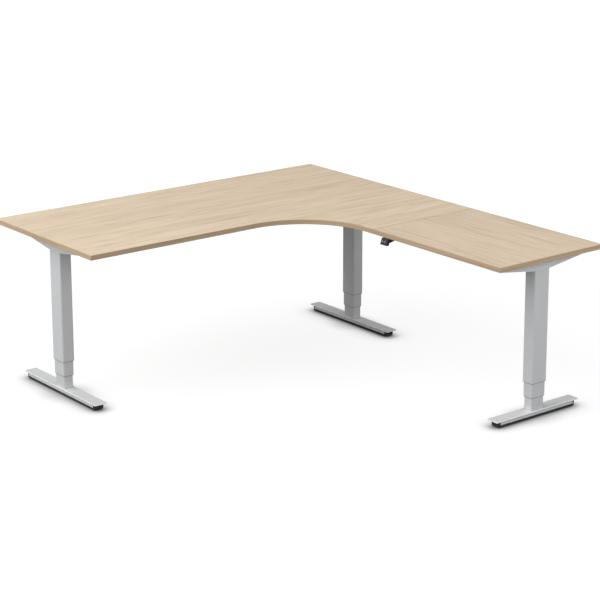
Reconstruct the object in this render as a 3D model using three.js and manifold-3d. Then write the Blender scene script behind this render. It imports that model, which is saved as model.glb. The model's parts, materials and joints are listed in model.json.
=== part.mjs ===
// Corner sit-stand desk: two desktop panels joined at a seam, carried by three
// three-stage lifting columns on flat T-feet. Millimetres, +Z up, origin on the
// floor at the middle of the desk's footprint, long main wing along X.
import * as THREE from 'three';
import { mergeVertices } from 'three/addons/utils/BufferGeometryUtils.js';
import Module from 'manifold-3d';

const wasm = await Module();
wasm.setup();

// ---- driving dimensions ----
const DESK_LENGTH = 1800;        // main wing, along X
const DESK_SPAN = 2000;          // from the rear edge to the end of the side wing, along Y
const MAIN_DEPTH = 800;
const SIDE_DEPTH = 600;
const SIDE_PANEL_LENGTH = 800;   // the extension panel, from its end to the seam
const CORNER_RADIUS = 350;       // hollow curve where the user sits
const DESK_HEIGHT = 728;         // top surface at rest
const TOP_THICKNESS = 22;
const BAND_THICKNESS = 1.5;
const SEAM_GAP = 0.8;
const GAP = 0.3;                 // clearance between touching pieces

const FOOT_WIDTH = 61;
const FOOT_TOP = 34;
const FOOT_PLATE_THICKNESS = 4.7;
const GLIDE_HEIGHT = 5;          // floor to the underside of the foot
const RAIL_WIDTH = 50;
const RAIL_BOTTOM = 14;
const BASE_INSET = 18;           // foot plate tip to the black base's end
const BASE_END = 10;             // length of the base's upturned ends

const TUBE_WALL = 1.8;
const OUTER = { length: 87, width: 59, radius: 7 };
const MIDDLE = { length: 79.5, width: 52, radius: 5.5 };
const INNER = { length: 72.5, width: 45, radius: 4.5 };
const OUTER_BOTTOM = 159;
const MIDDLE_BOTTOM = 93;
const TUBE_LENGTH = 500;
const COLLAR_LIP = 2.2;
const COLLAR_HEIGHT = 40;

const BRACKET_DEPTH = 49;        // desktop underside to the top of the outer tube
const BRACKET_SLOPE = 0.145;     // rise of the arms' lower edge per unit of length
const BRACKET_SHEET = 2.5;
const BEAM_WIDTH = 50;
const BEAM_HEIGHT = 30;
const BEAM_OFFSET = 58;          // main beam behind the column centres

const UNDERSIDE = DESK_HEIGHT - TOP_THICKNESS;
const BRACKET_BOTTOM = UNDERSIDE - BRACKET_DEPTH;
const RIGHT_EDGE = DESK_LENGTH / 2;
const REAR_EDGE = DESK_SPAN / 2;
const FRONT_EDGE = REAR_EDGE - MAIN_DEPTH;          // front of the main wing
const INNER_EDGE = RIGHT_EDGE - SIDE_DEPTH;         // inner side of the side wing
const SEAM = SIDE_PANEL_LENGTH - REAR_EDGE;

const LEGS = [
  { name: 'left', x: -820, y: 582, turn: Math.PI / 2, foot: 600, arm: 330 },
  { name: 'corner', x: 835, y: 582, turn: Math.PI / 2, foot: 600, arm: 330 },
  { name: 'right', x: 597, y: -918, turn: 0, foot: 490, arm: 250 },
];

// ---- materials ----
const finish = (color, roughness, metalness) =>
  () => new THREE.MeshStandardMaterial({ color, roughness, metalness });
const oak = finish(0xdcc8ac, 0.55, 0);
const oakEdge = finish(0xb89a78, 0.55, 0);
const silver = finish(0xc4c6c8, 0.4, 0.6);
const aluminium = finish(0xb4b6b8, 0.35, 0.9);
const black = finish(0x151516, 0.6, 0);
const darkPlastic = finish(0x2c2d2f, 0.55, 0);
const steel = finish(0x8d9095, 0.35, 1);
const brass = finish(0xb08d4a, 0.35, 1);

const desk = new THREE.Group();
const upright = new THREE.Group();      // pieces placed straight in the desk's frame
desk.add(upright);

function place(parent, name, geometry, material, x = 0, y = 0, z = 0) {
  const mesh = new THREE.Mesh(geometry, material());
  mesh.name = name;
  mesh.position.set(x, y, z);
  parent.add(mesh);
  return mesh;
}

// ---- shapes ----
function roundedRectangle(length, width, radius) {
  const shape = new THREE.Shape();
  const x = length / 2 - radius;
  const y = width / 2 - radius;
  shape.moveTo(x + radius, -y);
  shape.absarc(x, y, radius, 0, Math.PI / 2);
  shape.absarc(-x, y, radius, Math.PI / 2, Math.PI);
  shape.absarc(-x, -y, radius, Math.PI, 1.5 * Math.PI);
  shape.absarc(x, -y, radius, 1.5 * Math.PI, 2 * Math.PI);
  return shape;
}

function circle(radius) {
  return new THREE.Shape().absarc(0, 0, radius, 0, 2 * Math.PI);
}

function prism(shape, height, curveSegments = 2) {
  return new THREE.ExtrudeGeometry(shape, { depth: height, bevelEnabled: false, curveSegments });
}

function box(length, width, height) {
  return new THREE.BoxGeometry(length, width, height).translate(0, 0, height / 2);
}

// An outline in X and Z pushed evenly to both sides along Y.
function sideProfile(points, width) {
  const shape = new THREE.Shape(points.map(([x, z]) => new THREE.Vector2(x, z)));
  return prism(shape, width).rotateX(Math.PI / 2).translate(0, width / 2, 0);
}

function tube(section, wall, height) {
  const shape = roundedRectangle(section.length, section.width, section.radius);
  const inside = Math.max(section.radius - wall, 1);
  shape.holes.push(roundedRectangle(section.length - 2 * wall, section.width - 2 * wall, inside));
  return prism(shape, height);
}

// ---- joining and cutting ----
function toSolid(geometry) {
  const bare = geometry.clone();
  bare.deleteAttribute('normal');
  bare.deleteAttribute('uv');
  const merged = mergeVertices(bare, 1e-4);
  return new wasm.Manifold(new wasm.Mesh({
    numProp: 3,
    vertProperties: new Float32Array(merged.attributes.position.array),
    triVerts: new Uint32Array(merged.index.array),
  }));
}

function toGeometry(solid) {
  const mesh = solid.getMesh();
  const geometry = new THREE.BufferGeometry();
  geometry.setAttribute('position', new THREE.BufferAttribute(new Float32Array(mesh.vertProperties), 3));
  geometry.setIndex(new THREE.BufferAttribute(new Uint32Array(mesh.triVerts), 1));
  geometry.computeVertexNormals();
  return geometry;
}

function cut(geometry, ...tools) {
  return toGeometry(tools.reduce((solid, tool) => solid.subtract(toSolid(tool)), toSolid(geometry)));
}

function join(geometry, ...pieces) {
  return toGeometry(pieces.reduce((solid, piece) => solid.add(toSolid(piece)), toSolid(geometry)));
}

// ---- desktop ----
// The main panel's outline drawn in by an amount, with the curve kept concentric.
function mainOutline(inset) {
  const shape = new THREE.Shape();
  const near = SEAM + SEAM_GAP / 2 + inset;
  const radius = CORNER_RADIUS + inset;
  const curveX = INNER_EDGE - CORNER_RADIUS;
  const curveY = FRONT_EDGE - CORNER_RADIUS;
  shape.moveTo(-RIGHT_EDGE + inset, REAR_EDGE - inset);
  shape.lineTo(-RIGHT_EDGE + inset, FRONT_EDGE + inset);
  shape.lineTo(curveX, curveY + radius);
  shape.absarc(curveX, curveY, radius, Math.PI / 2, 0, true);
  shape.lineTo(INNER_EDGE + inset, near);
  shape.lineTo(RIGHT_EDGE - inset, near);
  shape.lineTo(RIGHT_EDGE - inset, REAR_EDGE - inset);
  shape.closePath();
  return shape;
}

function sideOutline(inset) {
  const shape = new THREE.Shape();
  const far = SEAM - SEAM_GAP / 2 - inset;
  shape.moveTo(INNER_EDGE + inset, -REAR_EDGE + inset);
  shape.lineTo(RIGHT_EDGE - inset, -REAR_EDGE + inset);
  shape.lineTo(RIGHT_EDGE - inset, far);
  shape.lineTo(INNER_EDGE + inset, far);
  shape.closePath();
  return shape;
}

const CURVE_STEPS = 12;
for (const [end, outline] of [['main', mainOutline], ['extension', sideOutline]]) {
  const core = outline(BAND_THICKNESS + GAP);
  place(upright, `desktop_${end}`, prism(core, TOP_THICKNESS, CURVE_STEPS), oak, 0, 0, UNDERSIDE);
  const band = outline(0);
  band.holes.push(outline(BAND_THICKNESS));
  place(upright, `edge_band_${end}`, prism(band, TOP_THICKNESS, CURVE_STEPS), oakEdge, 0, 0, UNDERSIDE);
}

// ---- feet: silver plate, aluminium rail and black base on two levelling glides ----
const STEM_RADIUS = 3.7;
const GLIDE_INSET = 48;          // foot plate tip to the middle of a glide

function glide() {
  const profile = [
    [0, 0], [14.5, 0], [16, 1.2], [16, 3], [13.5, GLIDE_HEIGHT - GAP],
    [STEM_RADIUS, GLIDE_HEIGHT - GAP], [STEM_RADIUS, 25.5], [0, 25.5],
  ];
  return new THREE.LatheGeometry(profile.map(([r, z]) => new THREE.Vector2(r, z)), 20)
    .rotateX(Math.PI / 2);
}

function footBase(length) {
  const top = FOOT_TOP - FOOT_PLATE_THICKNESS - GAP;
  const body = prism(roundedRectangle(length, RAIL_WIDTH, 8), top - GLIDE_HEIGHT)
    .translate(0, 0, GLIDE_HEIGHT);
  const trough = box(length - 2 * BASE_END, 2 * RAIL_WIDTH, top).translate(0, 0, RAIL_BOTTOM);
  const holeAt = length / 2 + BASE_INSET - GLIDE_INSET;
  const holes = [-holeAt, holeAt].map((x) =>
    prism(circle(STEM_RADIUS + 0.6), RAIL_BOTTOM * 2, 6).translate(x, 0, 0));
  return cut(body, trough, ...holes);
}

function footRail(length) {
  const height = FOOT_TOP - FOOT_PLATE_THICKNESS - RAIL_BOTTOM - 2 * GAP;
  const sheet = 3;
  const half = RAIL_WIDTH / 2;
  const groove = 0.8;
  const side = (sign) => [
    [sign * half, 0], [sign * half, height * 0.4], [sign * (half - groove), height * 0.45],
    [sign * (half - groove), height * 0.6], [sign * half, height * 0.65], [sign * half, height],
  ];
  const outline = [
    ...side(1), ...side(-1).reverse(),
    [-(half - sheet), 0], [-(half - sheet), height - sheet], [half - sheet, height - sheet], [half - sheet, 0],
  ];
  const shape = new THREE.Shape(outline.map(([y, z]) => new THREE.Vector2(y, z)));
  return prism(shape, length).rotateX(Math.PI / 2).rotateZ(Math.PI / 2)
    .translate(-length / 2, 0, 0);
}

function addFoot(leg, group) {
  const base = leg.foot - 2 * BASE_INSET;
  const railLength = base - 2 * BASE_END - 2 * GAP;
  place(group, `foot_plate_${leg.name}`,
    prism(roundedRectangle(leg.foot, FOOT_WIDTH, 5), FOOT_PLATE_THICKNESS), silver,
    0, 0, FOOT_TOP - FOOT_PLATE_THICKNESS);
  place(group, `foot_rail_${leg.name}`, footRail(railLength), aluminium, 0, 0, RAIL_BOTTOM + GAP);
  place(group, `foot_base_${leg.name}`, footBase(base), black);
  const at = leg.foot / 2 - GLIDE_INSET;
  place(group, `levelling_glide_${leg.name}_a`, glide(), darkPlastic, -at);
  place(group, `levelling_glide_${leg.name}_b`, glide(), darkPlastic, at);
}

// ---- columns ----
function collar(outside, inside) {
  const clear = TUBE_WALL + GAP;
  const bore = roundedRectangle(inside.length + 2 * GAP, inside.width + 2 * GAP, inside.radius);
  const lip = roundedRectangle(outside.length - 2, outside.width - 2, outside.radius - 1);
  lip.holes.push(bore);
  const sleeve = roundedRectangle(
    outside.length - 2 * clear, outside.width - 2 * clear, outside.radius - TUBE_WALL);
  sleeve.holes.push(bore);
  return join(
    prism(lip, COLLAR_LIP - GAP).translate(0, 0, -COLLAR_LIP),
    prism(sleeve, COLLAR_HEIGHT).translate(0, 0, -COLLAR_LIP + 1));
}

const SPINDLE_RADIUS = 5;
const HOLLOW_SPINDLE_RADIUS = 9;
const NUT_DROP = 32;             // inner tube's head to the nut's underside
const INNER_TOP = FOOT_TOP + TUBE_LENGTH;
const MIDDLE_TOP = MIDDLE_BOTTOM + TUBE_LENGTH;

function spindleNut() {
  const clear = 2 * (TUBE_WALL + GAP);
  const shape = roundedRectangle(INNER.length - clear, INNER.width - clear, 3);
  shape.holes.push(circle(HOLLOW_SPINDLE_RADIUS + 0.6));
  return prism(shape, 16, 6);
}

// Threaded tube with the flange that hangs it in the head of the middle tube.
function hollowSpindle(bottom, top) {
  const bore = SPINDLE_RADIUS + 0.7;
  const profile = [
    [bore, bottom], [HOLLOW_SPINDLE_RADIUS, bottom], [HOLLOW_SPINDLE_RADIUS, top - 8],
    [20, top - 8], [20, top], [bore, top], [bore, bottom],
  ];
  return new THREE.LatheGeometry(profile.map(([r, z]) => new THREE.Vector2(r, z)), 20)
    .rotateX(Math.PI / 2);
}

function addColumn(leg, group) {
  place(group, `inner_tube_${leg.name}`, tube(INNER, TUBE_WALL, TUBE_LENGTH - GAP), silver,
    0, 0, FOOT_TOP + GAP);
  place(group, `middle_tube_${leg.name}`, tube(MIDDLE, TUBE_WALL, TUBE_LENGTH), silver,
    0, 0, MIDDLE_BOTTOM);
  place(group, `outer_tube_${leg.name}`,
    tube(OUTER, TUBE_WALL, BRACKET_BOTTOM - OUTER_BOTTOM), silver, 0, 0, OUTER_BOTTOM);
  place(group, `lower_slide_collar_${leg.name}`, collar(MIDDLE, INNER), darkPlastic,
    0, 0, MIDDLE_BOTTOM);
  place(group, `upper_slide_collar_${leg.name}`, collar(OUTER, MIDDLE), darkPlastic,
    0, 0, OUTER_BOTTOM);
  place(group, `spindle_nut_${leg.name}`, spindleNut(), brass, 0, 0, INNER_TOP - NUT_DROP);
  place(group, `hollow_spindle_${leg.name}`, hollowSpindle(MIDDLE_BOTTOM + 4, MIDDLE_TOP - 4), steel);
}

// ---- brackets and drives at the column heads ----
const ARM_LEVEL = OUTER.length / 2;      // half length of the bracket's level middle

function bracketProfile(arm) {
  const top = UNDERSIDE - GAP;
  const low = BRACKET_BOTTOM + GAP;
  const tip = low + (arm - ARM_LEVEL) * BRACKET_SLOPE;
  return [[-arm, tip], [-ARM_LEVEL, low], [ARM_LEVEL, low], [arm, tip], [arm, top], [-arm, top]];
}

function bracket(arm) {
  const body = sideProfile(bracketProfile(arm), OUTER.width);
  const channelWidth = OUTER.width - 2 * BRACKET_SHEET;
  const channel = box(2 * (arm - BRACKET_SHEET), channelWidth, BRACKET_DEPTH - BRACKET_SHEET)
    .translate(0, 0, BRACKET_BOTTOM - GAP);
  const headPlate = box(2 * ARM_LEVEL, channelWidth + 1, BRACKET_SHEET)
    .translate(0, 0, BRACKET_BOTTOM + GAP);
  const spindleHole = prism(circle(SPINDLE_RADIUS + 3), 20, 8).translate(0, 0, BRACKET_BOTTOM - 10);
  return cut(join(cut(body, channel), headPlate), spindleHole);
}

const HEAD_TOP = BRACKET_BOTTOM + GAP + BRACKET_SHEET + GAP;
const MOTOR_RADIUS = 15.5;
const MOTOR_LENGTH = 100;

function driveUnit() {
  const gearboxHeight = UNDERSIDE - BRACKET_SHEET - 1 - HEAD_TOP;
  const gearbox = prism(roundedRectangle(62, 46, 6), gearboxHeight);
  const motor = new THREE.CylinderGeometry(MOTOR_RADIUS, MOTOR_RADIUS, MOTOR_LENGTH, 20)
    .rotateZ(Math.PI / 2)
    .translate(28 + MOTOR_LENGTH / 2, 0, gearboxHeight - MOTOR_RADIUS - 0.5);
  return join(gearbox, motor);
}

function addHead(leg, group) {
  place(group, `support_bracket_${leg.name}`, bracket(leg.arm), silver);
  place(group, `drive_unit_${leg.name}`, driveUnit(), darkPlastic, 0, 0, HEAD_TOP);
  const spindleBottom = MIDDLE_BOTTOM + 47;
  const spindle = new THREE.CylinderGeometry(
    SPINDLE_RADIUS, SPINDLE_RADIUS, HEAD_TOP - GAP - spindleBottom, 16).rotateX(Math.PI / 2);
  place(group, `drive_spindle_${leg.name}`, spindle, steel, 0, 0, (HEAD_TOP - GAP + spindleBottom) / 2);
}

for (const leg of LEGS) {
  const group = new THREE.Group();
  group.position.set(leg.x, leg.y, 0);
  group.rotation.z = leg.turn;
  desk.add(group);
  addFoot(leg, group);
  addColumn(leg, group);
  addHead(leg, group);
}

// ---- frame under the desktop ----
const [LEFT, CORNER, RIGHT] = LEGS;
const beamSection = { length: BEAM_WIDTH, width: BEAM_HEIGHT, radius: 4 };
const beamMiddle = UNDERSIDE - 4 - BEAM_HEIGHT / 2;
const bracketSide = OUTER.width / 2 + GAP;

const mainBeamStart = LEFT.x + bracketSide;
const mainBeam = tube(beamSection, 2, CORNER.x - bracketSide - mainBeamStart)
  .rotateZ(Math.PI / 2).rotateY(Math.PI / 2);
place(upright, 'crossbeam_main', mainBeam, silver, mainBeamStart, LEFT.y + BEAM_OFFSET, beamMiddle);

const sideBeamStart = RIGHT.y + bracketSide;
const sideBeamEnd = LEFT.y + BEAM_OFFSET - BEAM_WIDTH / 2 - GAP;
const sideBeam = tube(beamSection, 2, sideBeamEnd - sideBeamStart).rotateX(-Math.PI / 2);
place(upright, 'crossbeam_extension', sideBeam, silver, RIGHT.x, sideBeamStart, beamMiddle);

const JOINING_PLATE = { across: 60, along: 200, thickness: 3 };
for (const [name, x] of [['inner', INNER_EDGE + 120], ['outer', RIGHT_EDGE - 110]]) {
  const plate = prism(roundedRectangle(JOINING_PLATE.across, JOINING_PLATE.along, 8), JOINING_PLATE.thickness);
  place(upright, `joining_plate_${name}`, plate, steel,
    x, SEAM, UNDERSIDE - GAP - JOINING_PLATE.thickness);
}

// ---- control box with the bay that its plugs go into ----
const CONTROL_BOX = { length: 240, width: 96, height: 36, x: 60, y: 760 };
const PLUG_BAY = { length: 196, depth: 15, height: 20 };
function controlBox() {
  const shell = prism(roundedRectangle(CONTROL_BOX.length, CONTROL_BOX.width, 10), CONTROL_BOX.height);
  const bay = box(PLUG_BAY.length, 2 * PLUG_BAY.depth, PLUG_BAY.height)
    .translate(0, -CONTROL_BOX.width / 2, (CONTROL_BOX.height - PLUG_BAY.height) / 2);
  return cut(shell, bay);
}
place(upright, 'control_box', controlBox(), darkPlastic,
  CONTROL_BOX.x, CONTROL_BOX.y, UNDERSIDE - GAP - CONTROL_BOX.height);

// ---- handset under the inner edge of the side wing ----
const HANDSET_WIDTH = 42;
const HANDSET_Y = -283;
const HANDSET_TOP = UNDERSIDE - 2 - 2 * GAP;
const FACE_LEAN = THREE.MathUtils.degToRad(20);      // the button face looks slightly upwards
const FACE_HEIGHT = 29;
const FACE_TOP_X = INNER_EDGE - 3;
const faceLow = {
  x: FACE_TOP_X - FACE_HEIGHT * Math.sin(FACE_LEAN),
  z: HANDSET_TOP - FACE_HEIGHT * Math.cos(FACE_LEAN),
};
const BUTTON = { width: 12, height: 15, thickness: 3, proud: 1.6, spacing: 14.5 };
const BUTTON_POCKET = 4.2;

// Moves a shape built on the Y-Z plane with its outside towards -X onto the sloping button face.
function ontoFace(geometry) {
  const middle = FACE_HEIGHT / 2;
  return geometry.rotateY(FACE_LEAN).translate(
    FACE_TOP_X - middle * Math.sin(FACE_LEAN), HANDSET_Y, HANDSET_TOP - middle * Math.cos(FACE_LEAN));
}

function buttonBlock(depth, grow) {
  return prism(roundedRectangle(BUTTON.height + 2 * grow, BUTTON.width + 2 * grow, 2.5), depth)
    .rotateY(Math.PI / 2);
}

const housing = sideProfile([
  [FACE_TOP_X, HANDSET_TOP], [faceLow.x, faceLow.z], [faceLow.x + 3, faceLow.z - 2.5],
  [faceLow.x + 15, faceLow.z - 2.5], [INNER_EDGE + 6, HANDSET_TOP - 19],
  [INNER_EDGE + 40, HANDSET_TOP - 12], [INNER_EDGE + 42, HANDSET_TOP - 8], [INNER_EDGE + 42, HANDSET_TOP],
], HANDSET_WIDTH).translate(0, HANDSET_Y, 0);
const pockets = [1, -1].map((side) =>
  ontoFace(buttonBlock(BUTTON_POCKET + 2, 0.4).translate(-2, side * BUTTON.spacing / 2, 0)));
const inlet = box(14, 9, 6).translate(INNER_EDGE + 42, HANDSET_Y, HANDSET_TOP - 7);
place(upright, 'handset_housing', cut(housing, ...pockets, inlet), black);
place(upright, 'handset_mounting_plate', prism(roundedRectangle(36, 38, 4), 2), steel,
  INNER_EDGE + 21, HANDSET_Y, UNDERSIDE - GAP - 2);
for (const [name, side] of [['up', 1], ['down', -1]]) {
  const block = buttonBlock(BUTTON.thickness, 0).translate(-BUTTON.proud, side * BUTTON.spacing / 2, 0);
  place(upright, `handset_${name}_button`, ontoFace(block), darkPlastic);
}

export default desk;
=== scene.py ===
"""Looks of a corner sit-stand desk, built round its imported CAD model: desktop, columns, feet,
brackets, beams, drives, control box and handset, then the studio floor, lights and camera."""
import json
import math

import bmesh
import bpy
from bpy.props import FloatProperty, FloatVectorProperty, IntProperty, PointerProperty
from mathutils import Matrix, Vector


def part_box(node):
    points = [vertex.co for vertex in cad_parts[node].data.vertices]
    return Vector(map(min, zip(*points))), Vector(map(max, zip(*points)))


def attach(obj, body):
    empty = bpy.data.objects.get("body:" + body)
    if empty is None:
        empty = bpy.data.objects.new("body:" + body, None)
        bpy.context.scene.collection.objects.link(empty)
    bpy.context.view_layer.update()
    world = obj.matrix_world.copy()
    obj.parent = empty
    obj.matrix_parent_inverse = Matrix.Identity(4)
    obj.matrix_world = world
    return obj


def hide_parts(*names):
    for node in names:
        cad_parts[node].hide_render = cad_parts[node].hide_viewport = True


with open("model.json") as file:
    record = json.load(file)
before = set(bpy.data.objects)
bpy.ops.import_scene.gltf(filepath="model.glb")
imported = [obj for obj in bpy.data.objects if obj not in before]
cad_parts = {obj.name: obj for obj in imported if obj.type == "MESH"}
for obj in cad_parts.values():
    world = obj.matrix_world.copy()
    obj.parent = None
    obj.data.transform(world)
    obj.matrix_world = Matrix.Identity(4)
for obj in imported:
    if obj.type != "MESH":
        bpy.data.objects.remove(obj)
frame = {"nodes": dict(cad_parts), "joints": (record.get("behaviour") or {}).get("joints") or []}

bl_info = {
    "name": "Corner sit-stand desk",
    "version": (1, 0, 0),
    "blender": (4, 5, 0),
    "location": "View3D > Sidebar > Desk",
    "description": "Builds the visible pieces and finishes of a corner sit-stand desk",
    "category": "Object",
}

MM = 0.001
GAP = 0.3 * MM  # clearance between pieces that meet
SHARP = math.radians(40)  # edges that turn more than this stay sharp
LEG_NAMES = ("left", "corner", "right")
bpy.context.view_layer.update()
X, Y, Z = Vector((1, 0, 0)), Vector((0, 1, 0)), Vector((0, 0, 1))


# ---------------------------------------------------------------- sizes, colours and stage

class DeskSizes(bpy.types.PropertyGroup):
    """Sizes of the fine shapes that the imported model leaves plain."""
    main_depth: FloatProperty(
        name="Main depth", description="Depth of the long wing, rear edge to front edge",
        default=800 * MM, unit="LENGTH")
    hollow_radius: FloatProperty(
        name="Hollow radius", description="Radius of the hollow curve where the user sits",
        default=350 * MM, unit="LENGTH")
    hollow_steps: IntProperty(
        name="Hollow steps", description="Straight pieces in the hollow curve", default=64)
    band: FloatProperty(
        name="Edge band", description="Thickness of the glued edge band",
        default=1.5 * MM, unit="LENGTH")
    band_round: FloatProperty(
        name="Edge rounding", description="Radius along the edge band's upper and lower edges",
        default=1.0 * MM, unit="LENGTH")
    tube_wall: FloatProperty(
        name="Tube wall", description="Wall thickness of the column tubes",
        default=1.8 * MM, unit="LENGTH")
    sheet: FloatProperty(
        name="Bracket sheet", description="Thickness of the folded bracket sheet",
        default=2.5 * MM, unit="LENGTH")
    fold: FloatProperty(
        name="Fold radius", description="Outer radius of the bracket's folds",
        default=2.2 * MM, unit="LENGTH")
    rim: FloatProperty(
        name="Rim rounding", description="Small rounding on cut metal edges",
        default=0.4 * MM, unit="LENGTH")


class DeskColours(bpy.types.PropertyGroup):
    """Colours of the finishes."""
    oak_light: FloatVectorProperty(
        name="Oak light", description="Light wood between the grain", subtype="COLOR",
        default=(0.664, 0.544, 0.408))
    oak_dark: FloatVectorProperty(
        name="Oak dark", description="Grain streaks of the wood", subtype="COLOR",
        default=(0.400, 0.298, 0.202))
    band_light: FloatVectorProperty(
        name="Edge band light", description="Light wood of the edge band", subtype="COLOR",
        default=(0.500, 0.368, 0.246))
    band_dark: FloatVectorProperty(
        name="Edge band dark", description="Grain of the edge band", subtype="COLOR",
        default=(0.350, 0.240, 0.148))
    silver: FloatVectorProperty(
        name="Silver coat", description="Powder coat of feet, brackets and beams",
        subtype="COLOR", default=(0.680, 0.688, 0.700))
    column: FloatVectorProperty(
        name="Column coat", description="Powder coat of the column tubes",
        subtype="COLOR", default=(0.540, 0.545, 0.553))
    black: FloatVectorProperty(
        name="Black moulding", description="Black moulded plastic", subtype="COLOR",
        default=(0.008, 0.008, 0.009))
    mark: FloatVectorProperty(
        name="Arrow marks", description="Print on the handset's buttons", subtype="COLOR",
        default=(0.550, 0.570, 0.600))


class DeskStage(bpy.types.PropertyGroup):
    """Camera, floor and lights."""
    camera_place: FloatVectorProperty(
        name="Camera place", description="Where the camera stands", subtype="XYZ",
        unit="LENGTH", default=(-4.874, -6.277, 2.816))
    heading: FloatProperty(
        name="Heading", description="Camera's direction, turned from +X towards +Y",
        subtype="ANGLE", default=math.radians(51.33))
    dip: FloatProperty(
        name="Dip", description="How far the camera looks below the horizon",
        subtype="ANGLE", default=math.radians(13.9))
    lens: FloatProperty(
        name="Lens", description="Focal length in millimetres, on a 36 mm sensor",
        default=112.81)
    shift: FloatVectorProperty(
        name="Lens shift", description="Share of the frame that the lens is shifted by",
        size=2, default=(-0.0297, -0.160))
    floor: FloatVectorProperty(
        name="Floor", description="Colour of the studio floor", subtype="COLOR",
        default=(0.18, 0.18, 0.18))
    floor_glow: FloatProperty(
        name="Floor glow", description="How much the floor round the desk is lightened",
        default=0.84)
    floor_bounce: FloatProperty(
        name="Floor bounce", description="Share of the light that the floor throws back",
        default=0.33)
    horizon: FloatProperty(
        name="Horizon", description="Strength of the even light that comes in level", default=0.22)
    zenith: FloatProperty(
        name="Zenith", description="Strength of the even light from straight above", default=0.67)
    key: FloatProperty(
        name="Key light", description="Power of the soft key light, in watts", default=700.0)
    key_distance: FloatProperty(
        name="Key distance", description="How far off the key light stands",
        default=8.0, unit="LENGTH")
    key_width: FloatProperty(
        name="Key width", description="Size of the key light", default=9.0, unit="LENGTH")
    key_height: FloatProperty(
        name="Key height", description="Key light's height above the horizon",
        subtype="ANGLE", default=math.radians(42))
    key_heading: FloatProperty(
        name="Key heading", description="Direction the key light shines in, from +X to +Y",
        subtype="ANGLE", default=math.radians(-16))
    fill: FloatProperty(
        name="Fill light", description="Power of the weaker fill light, in watts", default=84.0)
    fill_distance: FloatProperty(
        name="Fill distance", description="How far off the fill light stands",
        default=5.0, unit="LENGTH")
    fill_width: FloatProperty(
        name="Fill width", description="Size of the fill light", default=3.0, unit="LENGTH")
    fill_height: FloatProperty(
        name="Fill height", description="Fill light's height above the horizon",
        subtype="ANGLE", default=math.radians(28))
    fill_heading: FloatProperty(
        name="Fill heading", description="Direction the fill light shines in, from +X to +Y",
        subtype="ANGLE", default=math.radians(109))


PROPERTY_GROUPS = {"desk_sizes": DeskSizes, "desk_colours": DeskColours, "desk_stage": DeskStage}


# ---------------------------------------------------------------- shader sums

class Wire:
    """An output socket of a shader, for sums written with Python's operators."""

    def __init__(self, shader, socket):
        self.shader = shader
        self.socket = socket

    def sum(self, operation, *values):
        return self.shader.node("ShaderNodeMath", values, operation=operation)

    def __add__(self, other):
        return self.sum("ADD", self, other)

    def __sub__(self, other):
        return self.sum("SUBTRACT", self, other)

    def __rsub__(self, other):
        return self.sum("SUBTRACT", other, self)

    def __mul__(self, other):
        return self.sum("MULTIPLY", self, other)

    def __pow__(self, other):
        return self.sum("POWER", self, other)

    __radd__ = __add__
    __rmul__ = __mul__


class Nodes:
    """Adds nodes to a node tree."""

    def __init__(self, tree):
        self.tree = tree

    def node(self, kind, values=(), out=0, **settings):
        """Adds a node: its settings first, then its inputs, by place or by name."""
        made = self.tree.nodes.new(kind)
        for key, value in settings.items():
            setattr(made, key, value)
        pairs = values.items() if isinstance(values, dict) else enumerate(values)
        for key, value in pairs:
            if isinstance(value, Wire):
                self.tree.links.new(value.socket, made.inputs[key])
            else:
                made.inputs[key].default_value = value
        return Wire(self, made.outputs[out])

    def place(self, scale=(1, 1, 1)):
        """Object coordinates in metres, scaled."""
        here = self.node("ShaderNodeTexCoord", out="Object")
        return self.node("ShaderNodeMapping", {"Vector": here, "Scale": scale})

    def noise(self, place, scale=1.0, detail=3.0, roughness=0.5):
        """Soft noise. The scale is about the number of its patches in a metre."""
        values = {"Vector": place, "Scale": scale, "Detail": detail, "Roughness": roughness}
        return self.node("ShaderNodeTexNoise", values)

    def stretch(self, value, low, high, to_low=0.0, to_high=1.0):
        """Maps a range of a value onto another range, clamped."""
        values = {
            "Value": value, "From Min": low, "From Max": high, "To Min": to_low, "To Max": to_high}
        return self.node("ShaderNodeMapRange", values)

    def mix(self, share, first, second):
        """Mixes two colours by a value's share of the second."""
        values = {0: share, 6: four(first), 7: four(second)}
        return self.node("ShaderNodeMix", values, out=2, data_type="RGBA")

    def bump(self, height, strength, distance):
        """Fine relief, whose distance is its depth in metres."""
        values = {"Height": height, "Strength": strength, "Distance": distance}
        return self.node("ShaderNodeBump", values)

    def end(self, wire):
        """Joins a shader to the tree's output."""
        output = next(node for node in self.tree.nodes if "Surface" in node.inputs)
        self.tree.links.new(wire.socket, output.inputs["Surface"])


class Shader(Nodes):
    """A material on one Principled surface. Constants go straight on its sockets."""

    def __init__(self, name, **constants):
        self.material = bpy.data.materials.new(name)
        self.material.use_nodes = True
        super().__init__(self.material.node_tree)
        self.surface = self.tree.nodes["Principled BSDF"]
        for socket, value in constants.items():
            self.surface.inputs[socket_name(socket)].default_value = value

    def wear(self, **wires):
        """Joins varying values to the surface and returns the material."""
        for name, wire in wires.items():
            self.tree.links.new(wire.socket, self.surface.inputs[socket_name(name)])
        return self.material


def socket_name(name):
    return name.replace("_", " ").title().replace("Ior", "IOR")


def four(colour):
    """A colour with its alpha, or a wire as it is."""
    return colour if isinstance(colour, Wire) else (*colour, 1.0)


def shade(colour, amount):
    """A colour made darker or lighter."""
    return [min(1.0, amount * c) for c in colour]


# ---------------------------------------------------------------- finishes

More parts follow.
